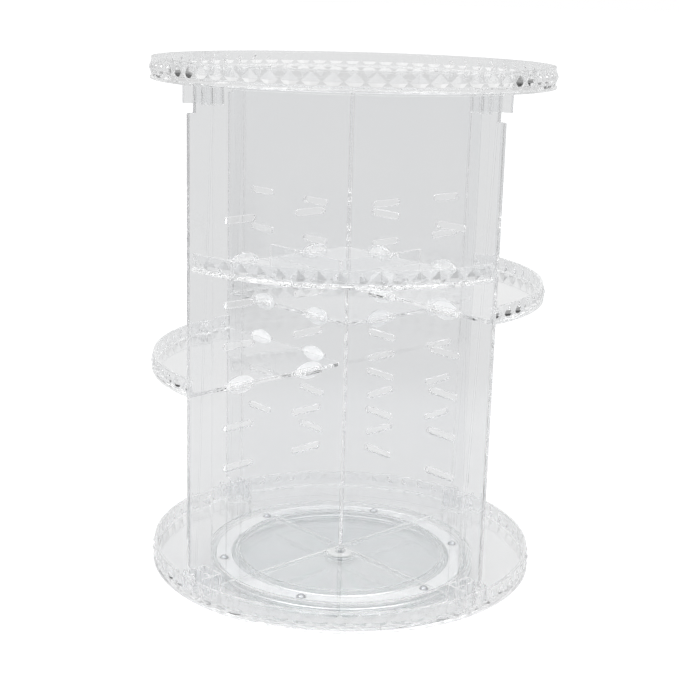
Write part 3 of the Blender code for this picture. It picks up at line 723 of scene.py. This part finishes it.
def turntable_plate():
    top, boss_top, well_top = PLATE_TOP, PLATE_TOP + BOSS_HEIGHT, PLATE_TOP + WELL_ROOF
    hole, well = POST_RADIUS + CLEARANCE, BOSS_RADIUS - BOSS_WALL
    outline = [(hole, well_top, BORE_ROUND), (well, well_top, BOSS_ROUND), (well, PLATE_BOTTOM, BOSS_ROUND),
               (PLATE_RADIUS, PLATE_BOTTOM, PLATE_LOW_ROUND), (PLATE_RADIUS, top, PLATE_ROUND)]
    for inner, outer in reversed(RACE_RIBS):
        outline += [(x, z, RIB_FILLET) for x, z in ((outer, top), (outer, top + RACE_RIB_HEIGHT),
                                                    (inner, top + RACE_RIB_HEIGHT), (inner, top))]
    outline += [(BOSS_RADIUS, top, BOSS_FILLET), (BOSS_RADIUS, boss_top, BOSS_ROUND),
                (hole, boss_top, HOLE_ROUND)]
    return turned("turntable_plate", rounded(outline), 180)


def cage():
    half = CAGE_THICKNESS / 2
    corners = rectangle(CAGE_INNER, CAGE_OUTER, BALL_MIDDLE - half, BALL_MIDDLE + half)
    piece = turned("cage_ring", rounded([(x, z, CAGE_ROUND) for x, z in corners]), 180)
    bm = bmesh.new()
    angles = [math.radians(360 / POCKET_STEPS * k) for k in range(POCKET_STEPS)]
    for ball in BALLS:
        place = (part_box(ball)[0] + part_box(ball)[1]) / 2 / MM
        outline = [(place.x + BALL_POCKET * math.cos(a), place.y + BALL_POCKET * math.sin(a)) for a in angles]
        raised(bm, outline, BALL_MIDDLE - OVERCUT, BALL_MIDDLE + OVERCUT)
    return combined(piece, [shell("pockets", bm)], "DIFFERENCE")


def steel_ball(name, node):
    """A polished ball with the faint flat ring that rolling leaves on it."""
    low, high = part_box(node)
    centre, radius = (low + high) / 2 / MM, (high.z - low.z) / 2 / MM
    outline = []
    for k in range(BALL_RINGS + 1):
        a = math.radians(-90 + 180.0 * k / BALL_RINGS)
        worn = radius * (1 - BALL_WEAR * math.exp(-(math.degrees(a) / BALL_WEAR_ANGLE) ** 2))
        outline.append((0 if k in (0, BALL_RINGS) else worn * math.cos(a), worn * math.sin(a)))
    made = turned(name, outline, 48)
    made.data.transform(Matrix.Translation(centre * MM) @ Matrix.Rotation(math.radians(BALL_TILT), 4, "X"))
    return made


def foot(name, node):
    low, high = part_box(node)
    centre = (low + high) / 2 / MM
    z0, z1 = low.z / MM, high.z / MM
    inwards, upwards = FOOT_SLOPE
    made = turned(name, rounded([(0, z1, 0), (FOOT_RADIUS, z1, FOOT_ROUND),
                                 (FOOT_RADIUS, z0 + upwards, FOOT_SLOPE_ROUNDS[1]),
                                 (FOOT_RADIUS - inwards, z0, FOOT_SLOPE_ROUNDS[0]), (0, z0, 0)]), 48)
    made.data.transform(Matrix.Translation((centre.x * MM, centre.y * MM, 0)))
    return made


def ring_piece(name, node, inner, edge):
    low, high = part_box(node)
    corners = rectangle(inner, (high.x - low.x) / 2 / MM, low.z / MM, high.z / MM)
    return turned(name, rounded([(x, z, edge) for x, z in corners]), 72)


def screw():
    low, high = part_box("pivot_screw")
    z0, z1 = low.z / MM, high.z / MM
    head_top = z0 + SCREW_HEAD_HEIGHT
    piece = turned("screw", rounded([(0, z0, 0), (SCREW_HEAD * SCREW_FACE, z0, 0.6),
                                     (SCREW_HEAD, z0 + SCREW_SLOPE, 0.4), (SCREW_HEAD, head_top, 0.15),
                                     (SCREW_SHANK, head_top, 0.1), (SCREW_SHANK, z1, 0.3), (0, z1, 0)]), 48)
    crosses = []
    for turn in (0.0, 90.0):
        bm = bmesh.new()
        raised(bm, rectangle(-CROSS_REACH, CROSS_REACH, -CROSS_HALF_WIDTH, CROSS_HALF_WIDTH),
               z0 - 1, z0 + CROSS_DEPTH, wing_matrix(turn))
        crosses.append(shell("cross", bm))
    return combined(piece, crosses, "DIFFERENCE")


# Materials
IOR = 1.49
TINT_RANGE = (0.35, 0.65)    # the part of a noise over which one colour turns into the other
NOISE_RANGE = (0.3, 0.7)     # the part of a noise over which a roughness changes
CLEAR_ROUGHNESS = 0.01


def material(name, roughness, transmission=0.0, metallic=0.0):
    made = bpy.data.materials.new(name)
    made.use_nodes = True
    shader = made.node_tree.nodes["Principled BSDF"]
    shader.inputs["Roughness"].default_value = roughness
    shader.inputs["Transmission Weight"].default_value = transmission
    shader.inputs["Metallic"].default_value = metallic
    shader.inputs["IOR"].default_value = IOR
    return made, made.node_tree.nodes, made.node_tree.links, shader


def object_place(nodes):
    return nodes.new("ShaderNodeTexCoord").outputs["Object"]


def separated(nodes, links, vector):
    """The X, Y and Z of a vector."""
    split = nodes.new("ShaderNodeSeparateXYZ")
    links.new(vector, split.inputs[0])
    return split.outputs


def computed(nodes, links, kind, operation, values, result="Value"):
    """The result of a Math or VectorMath node, from linked sockets and fixed values."""
    made = nodes.new(kind)
    made.operation = operation
    for socket, value in zip(made.inputs, values):
        if isinstance(value, bpy.types.NodeSocket):
            links.new(value, socket)
        else:
            socket.default_value = value
    return made.outputs[result]


def product(nodes, links, one, two):
    return computed(nodes, links, "ShaderNodeMath", "MULTIPLY", (one, two))


def ramped(nodes, links, value, low, high, from_low, to_high, kind="SMOOTHSTEP"):
    """Goes from one number to another while the value goes from low to high."""
    change = nodes.new("ShaderNodeMapRange")
    change.interpolation_type = kind
    change.inputs["From Min"].default_value = low
    change.inputs["From Max"].default_value = high
    change.inputs["To Min"].default_value = from_low
    change.inputs["To Max"].default_value = to_high
    links.new(value, change.inputs["Value"])
    return change.outputs["Result"]


def noise(nodes, links, source, scale, detail=2.0, stretch=None):
    texture = nodes.new("ShaderNodeTexNoise")
    texture.inputs["Scale"].default_value = scale
    texture.inputs["Detail"].default_value = detail
    if stretch:
        mapping = nodes.new("ShaderNodeMapping")
        mapping.inputs["Scale"].default_value = stretch
        links.new(source, mapping.inputs["Vector"])
        source = mapping.outputs["Vector"]
    links.new(source, texture.inputs["Vector"])
    return texture.outputs["Fac"]


def blend_colour(nodes, links, factor, one, two, shader):
    ramp = nodes.new("ShaderNodeValToRGB")
    for element, position, colour in zip(ramp.color_ramp.elements, TINT_RANGE, (one, two)):
        element.position = position
        element.color = (*colour, 1.0)
    links.new(factor, ramp.inputs["Fac"])
    links.new(ramp.outputs["Color"], shader.inputs["Base Color"])


def blend_roughness(nodes, links, factor, low, high, shader):
    links.new(ramped(nodes, links, factor, *NOISE_RANGE, low, high, "LINEAR"), shader.inputs["Roughness"])


def bump(nodes, links, height, depth, shader):
    made = nodes.new("ShaderNodeBump")
    made.inputs["Distance"].default_value = depth * MM
    made.inputs["Strength"].default_value = 1.0
    links.new(height, made.inputs["Height"])
    links.new(made.outputs["Normal"], shader.inputs["Normal"])


def clear_plastic(name, one, two, ripple, ripple_scale):
    """Clear moulded plastic: slow ripples of the mould's flow, faint tint changes, fine wipe marks."""
    made, nodes, links, shader = material(name, 0.0, 1.0)
    place = object_place(nodes)
    blend_colour(nodes, links, noise(nodes, links, place, scale=14.0), one, two, shader)
    wiped = noise(nodes, links, place, scale=260.0, detail=4.0, stretch=(1.0, 1.0, 0.15))
    blend_roughness(nodes, links, wiped, 0.0, CLEAR_ROUGHNESS, shader)
    bump(nodes, links, noise(nodes, links, place, ripple_scale, detail=1.0), ripple, shader)
    return made


def radial(nodes, links, across, along):
    """A vector whose first part runs round the axis and whose second runs outwards."""
    place = object_place(nodes)
    parts = separated(nodes, links, place)
    around = computed(nodes, links, "ShaderNodeMath", "ARCTAN2", (parts["Y"], parts["X"]))
    outwards = computed(nodes, links, "ShaderNodeVectorMath", "LENGTH", (place,))
    join = nodes.new("ShaderNodeCombineXYZ")
    links.new(product(nodes, links, around, across), join.inputs["X"])
    links.new(product(nodes, links, outwards, along), join.inputs["Y"])
    return join.outputs[0]


def streaked_plastic(name, one, two):
    """The turntable's plate: flow marks that run outwards from the middle."""
    made, nodes, links, shader = material(name, 0.0, 1.0)
    rays = noise(nodes, links, radial(nodes, links, across=9.0, along=18.0), scale=1.0, detail=3.0)
    blend_colour(nodes, links, rays, one, two, shader)
    blend_roughness(nodes, links, rays, 0.02, 0.10, shader)
    bump(nodes, links, rays, 0.06, shader)
    return made


def cloudy_plastic(name, one, two, roughness, transmission, grain=400.0):
    """Milky or soft plastic with a fine grain."""
    made, nodes, links, shader = material(name, roughness, transmission)
    place = object_place(nodes)
    blend_colour(nodes, links, noise(nodes, links, place, scale=30.0, detail=3.0), one, two, shader)
    blend_roughness(nodes, links, noise(nodes, links, place, grain, detail=3.0), roughness - 0.06,
                    roughness + 0.08, shader)
    bump(nodes, links, noise(nodes, links, place, grain), 0.015, shader)
    return made


def polished_steel(name, one, two):
    """Bright steel with fine turning marks."""
    made, nodes, links, shader = material(name, 0.12, 0.0, 1.0)
    place = object_place(nodes)
    blend_colour(nodes, links, noise(nodes, links, place, scale=300.0), one, two, shader)
    marks = noise(nodes, links, place, scale=900.0, detail=3.0, stretch=(1.0, 1.0, 6.0))
    blend_roughness(nodes, links, marks, 0.07, 0.2, shader)
    bump(nodes, links, noise(nodes, links, place, scale=1500.0), 0.002, shader)
    return made


def camera():
    turn = Matrix.Rotation(-CAMERA_YAW, 3, "Z")
    sp, cp = math.sin(CAMERA_PAN), math.cos(CAMERA_PAN)
    st, ct = math.sin(CAMERA_TILT), math.cos(CAMERA_TILT)
    cr, sr = math.cos(CAMERA_ROLL), math.sin(CAMERA_ROLL)
    ahead = Vector((sp * ct, cp * ct, -st))
    right = Vector((cp, -sp, 0.0))
    up = right.cross(ahead)
    right, up = right * cr + up * sr, up * cr - right * sr
    axes = [turn @ v for v in (right, up, -ahead)]
    place = turn @ Vector((0.0, -CAMERA_DISTANCE, CAMERA_HEIGHT)) * MM
    data = bpy.data.cameras.new("camera")
    data.sensor_width = SENSOR
    data.lens = FOCAL_PIXELS * SENSOR / FRAME_PIXELS
    data.clip_start = CLIP_START
    data.clip_end = CLIP_END
    made = bpy.data.objects.new("camera", data)
    rows = [[axes[c][r] for c in range(3)] + [place[r]] for r in range(3)]
    made.matrix_world = Matrix(rows + [[0, 0, 0, 1]])
    bpy.context.scene.collection.objects.link(made)
    bpy.context.scene.camera = made


# Studio. The backdrop and the floor are white to the camera. What the plastic mirrors and refracts is a
# sheet of grey paper, brighter in a ring round the object, with the room beside and above it, soft boxes,
# dark gaps beside the paper and black flags behind the object. Azimuths, heights and widths are degrees.
WHITE = 1.0
HORIZON = 0.68
ROOM = 0.95
ROOM_HEIGHTS = (3.0, 8.0)            # where the horizon ends and where the room starts
PATCHES = (
    # azimuth, elevation, inner and outer radius, radiance
    (0, 90, 20, 42, 2.1),            # softbox overhead
    (-48, 57, 13, 23, 3.0),          # softbox on the left
    (48, 57, 13, 23, 3.0),           # softbox on the right
    (225, 30, 8, 18, 0.5),           # unlit wall behind on the left
    (200, 56, 10, 22, 0.65),         # unlit wall behind
)
# Azimuth, inner and outer half width, on both sides, of the black flags, which the sides of the diamonds
# mirror, and of the dark gaps, seen from the middle of the paper
FLAGS = (150.0, 16.5, 19.0)
FLAG_BOTTOM = (16.5, 17.5)
FLAG_TOP = (27.0, 29.0)
FLAG_RADIANCE = 0.3
GAPS = (111.0, 10.5, 13.5)
GAP_TOP = (22.0, 28.0)
GAP_RADIANCE = 0.01
SCATTERED_GAIN = 1.18                # fill light that only frosted and matt surfaces catch
BOUNCES = 96
FLOOR_HALF_SIZE = 60.0               # metres, like the lengths below
FLOOR_LOW = -0.2 * MM
FLOOR_ALBEDO = 0.20
PAPER_GLOW = 0.455
NEAR_GLOW = 0.52                     # the ring of paper round the object is lit a little more
NEAR_START = (0.05, 0.13)
NEAR_END = (0.28, 0.52)
PAPER_END = (0.56, 0.62)
CAMERA_GLOW = 0.84
PAPER_TINT = (0.985, 0.993, 1.0)


def compass(azimuth, elevation):
    """A direction: azimuth from the front (-Y) towards the right (+X), and height, in degrees."""
    a, e = math.radians(azimuth), math.radians(elevation)
    return (math.sin(a) * math.cos(e), -math.cos(a) * math.cos(e), math.sin(e))


def towards(nodes, links, vector, azimuth, elevation, inner, outer):
    """1 where a vector points less than inner degrees past a direction, and 0 beyond outer degrees."""
    dot = computed(nodes, links, "ShaderNodeVectorMath", "DOT_PRODUCT", (vector, compass(azimuth, elevation)))
    return ramped(nodes, links, dot, math.cos(math.radians(outer)), math.cos(math.radians(inner)), 0.0, 1.0)


def beside(nodes, links, parts, azimuth, inner, outer):
    """1 near an azimuth on either side and 0 elsewhere, from the parts of a vector."""
    flat = nodes.new("ShaderNodeCombineXYZ")
    links.new(computed(nodes, links, "ShaderNodeMath", "ABSOLUTE", (parts["X"],)), flat.inputs["X"])
    links.new(parts["Y"], flat.inputs["Y"])
    unit = computed(nodes, links, "ShaderNodeVectorMath", "NORMALIZE", (flat.outputs[0],), "Vector")
    return towards(nodes, links, unit, azimuth, 0.0, inner, outer)


def by_height(nodes, links, parts, heights, lower, upper):
    """Goes from one number to another between two heights above the horizon."""
    start, end = (math.sin(math.radians(height)) for height in heights)
    return ramped(nodes, links, parts["Z"], start, end, lower, upper)


def blended(nodes, links, factor, one, two):
    """Mixes a linked value with a number."""
    mix = nodes.new("ShaderNodeMix")
    mix.data_type = "FLOAT"
    links.new(factor, mix.inputs["Factor"])
    links.new(one, mix.inputs[2])
    mix.inputs[3].default_value = two
    return mix.outputs[0]


def camera_ray(nodes, links, others, seen, socket):
    """Joins a value for the rays of the plastic and one for those straight from the camera."""
    straight = nodes.new("ShaderNodeLightPath").outputs["Is Camera Ray"]
    links.new(blended(nodes, links, straight, others, seen), socket)


def surroundings():
    scene = bpy.context.scene
    world = bpy.data.worlds.new("studio")
    scene.world = world
    world.use_nodes = True
    nodes, links = world.node_tree.nodes, world.node_tree.links
    direction = nodes.new("ShaderNodeTexCoord").outputs["Generated"]
    parts = separated(nodes, links, direction)
    current = by_height(nodes, links, parts, ROOM_HEIGHTS, HORIZON, ROOM)
    for *place, radiance in PATCHES:
        current = blended(nodes, links, towards(nodes, links, direction, *place), current, radiance)
    flag = beside(nodes, links, parts, *FLAGS)
    flag = product(nodes, links, flag, by_height(nodes, links, parts, FLAG_BOTTOM, 0.0, 1.0))
    flag = product(nodes, links, flag, by_height(nodes, links, parts, FLAG_TOP, 1.0, 0.0))
    current = blended(nodes, links, flag, current, FLAG_RADIANCE)
    gap = product(nodes, links, beside(nodes, links, parts, *GAPS),
                  by_height(nodes, links, parts, GAP_TOP, 1.0, 0.0))
    current = blended(nodes, links, gap, current, GAP_RADIANCE)
    depth = nodes.new("ShaderNodeLightPath").outputs["Diffuse Depth"]
    scattered = ramped(nodes, links, depth, 0.0, 1.0, 1.0, SCATTERED_GAIN)
    background = nodes["Background"]
    camera_ray(nodes, links, product(nodes, links, current, scattered), WHITE, background.inputs["Strength"])
    background.inputs["Color"].default_value = (1.0, 1.0, 1.0, 1.0)
    scene.view_settings.view_transform = "Standard"
    light = scene.cycles
    light.max_bounces = BOUNCES
    light.transmission_bounces = BOUNCES
    light.glossy_bounces = BOUNCES
    light.diffuse_bounces = 3
    light.transparent_max_bounces = 8
    light.sample_clamp_indirect = 8.0
    light.blur_glossy = 0.0


def floor():
    mesh = bpy.data.meshes.new("floor")
    corners = rectangle(-FLOOR_HALF_SIZE, FLOOR_HALF_SIZE, -FLOOR_HALF_SIZE, FLOOR_HALF_SIZE)
    mesh.from_pydata([(x, y, 0) for x, y in corners], [], [(0, 1, 2, 3)])
    made = bpy.data.objects.new("floor", mesh)
    bpy.context.scene.collection.objects.link(made)
    surface, nodes, links, shader = material("floor_white", 0.8)
    shader.inputs["Base Color"].default_value = (FLOOR_ALBEDO, FLOOR_ALBEDO, FLOOR_ALBEDO, 1.0)
    shader.inputs["Specular IOR Level"].default_value = 0.0
    shader.inputs["Emission Color"].default_value = (*PAPER_TINT, 1.0)
    place = object_place(nodes)
    distance = computed(nodes, links, "ShaderNodeVectorMath", "LENGTH", (place,))
    ring = product(nodes, links, ramped(nodes, links, distance, *NEAR_START, 0.0, 1.0),
                   ramped(nodes, links, distance, *NEAR_END, 1.0, 0.0))
    glow = ramped(nodes, links, ring, 0.0, 1.0, PAPER_GLOW, NEAR_GLOW)
    beyond = ramped(nodes, links, distance, *PAPER_END, 0.0, 1.0)
    dark = product(nodes, links, beside(nodes, links, separated(nodes, links, place), *GAPS), beyond)
    camera_ray(nodes, links, blended(nodes, links, dark, glow, GAP_RADIANCE), CAMERA_GLOW,
               shader.inputs["Emission Strength"])
    mesh.materials.append(surface)
    made.location.z = FLOOR_LOW


def dress():
    clear = clear_plastic("clear_moulded", (0.960, 0.964, 0.969), (0.970, 0.972, 0.973),
                          ripple=0.008, ripple_scale=45.0)
    sheet = clear_plastic("clear_sheet", (0.942, 0.946, 0.952), (0.952, 0.954, 0.957),
                          ripple=0.01, ripple_scale=30.0)
    plate = streaked_plastic("streaked_plate", (0.885, 0.935, 0.93), (0.94, 0.935, 0.95))
    # Painted light: a lighter copy of the clear plastic for the top tray alone, standing in for the light
    # that falls on the top from above
    painted_lit_clear = clear_plastic("clear_top_painted_light", (0.975, 0.978, 0.981), (0.983, 0.984, 0.985),
                           ripple=0.008, ripple_scale=45.0)
    # Painted reflection: the collars' flat faces are a white, rough plastic whose whiteness stands in for the
    # light that the clear collars reflect inside them; the hazy one, for the front shelf, lets more light
    # through
    collar_painted_reflection = cloudy_plastic("frosted_collar_painted_reflection", (0.97, 0.972, 0.975), (0.985, 0.985, 0.985),
                             roughness=0.4, transmission=0.2, grain=700.0)
    collar_painted_reflection_hazy = cloudy_plastic("hazy_collar_painted_reflection", (0.96, 0.965, 0.97), (0.98, 0.98, 0.98),
                          roughness=0.3, transmission=0.75, grain=700.0)
    milky = cloudy_plastic("milky_cage", (0.87, 0.875, 0.88), (0.90, 0.90, 0.90),
                           roughness=0.35, transmission=0.45)
    nylon = cloudy_plastic("white_nylon_washer", (0.93, 0.93, 0.92), (0.96, 0.96, 0.95),
                           roughness=0.4, transmission=0.5)
    rubber = cloudy_plastic("clear_rubber_feet", (0.93, 0.94, 0.94), (0.96, 0.96, 0.955),
                            roughness=0.35, transmission=0.9, grain=900.0)
    steel = polished_steel("polished_steel", (0.60, 0.61, 0.63), (0.48, 0.49, 0.51))
    sawn = cloudy_plastic("sawn_edge", (0.74, 0.75, 0.76), (0.82, 0.825, 0.83),
                          roughness=0.4, transmission=1.0, grain=1200.0)

    finished(base_tray(), clear, "tower", ["base_tray"])
    # the top tray takes the lighter, painted-lit copy of the clear plastic
    finished(top_tray(), painted_lit_clear, "top", ["top_tray"])
    for name, wing, from_top in (("panel_lower", WINGS[0], True), ("panel_upper", WINGS[1], False)):
        piece = finished(panel(name, wing, from_top), sheet, "tower", [name])
        piece.data.materials.append(sawn)
        bottom = min(v.co.z for v in piece.data.vertices)
        for face in piece.data.polygons:
            if face.center.z < bottom + SAWN_EDGE * MM:
                face.material_index = 1
    for quarter in QUARTERS:
        piece, flats = shelf(quarter, quarter == "front")
        finished(piece, clear, f"{quarter}_shelf", [f"shelf_{quarter}"])
        # the collars' flat faces take the white of the painted reflection
        piece.data.materials.append(collar_painted_reflection_hazy if quarter == "front" else collar_painted_reflection)
        for k in flats:
            piece.data.polygons[k].material_index = 1
    finished(turntable_plate(), plate, "turntable", ["turntable_base"])
    finished(cage(), milky, "cage", ["ball_cage"])
    for i, node in enumerate(BALLS):
        finished(steel_ball(f"polished_ball_{i + 1}", node), steel, "cage", [node])
    for i in range(FOOT_COUNT):
        node = f"foot_{i + 1}"
        finished(foot(f"soft_foot_{i + 1}", node), rubber, "turntable", [node])
    finished(ring_piece("nylon_ring", "thrust_washer", POST_RADIUS + CLEARANCE, NYLON_ROUND), nylon,
             "turntable", ["thrust_washer"])
    finished(ring_piece("steel_ring", "pivot_washer", SCREW_SHANK + CLEARANCE, WASHER_ROUND), steel,
             "tower", ["pivot_washer"])
    finished(screw(), steel, "tower", ["pivot_screw"])


surroundings()
floor()
camera()
dress()
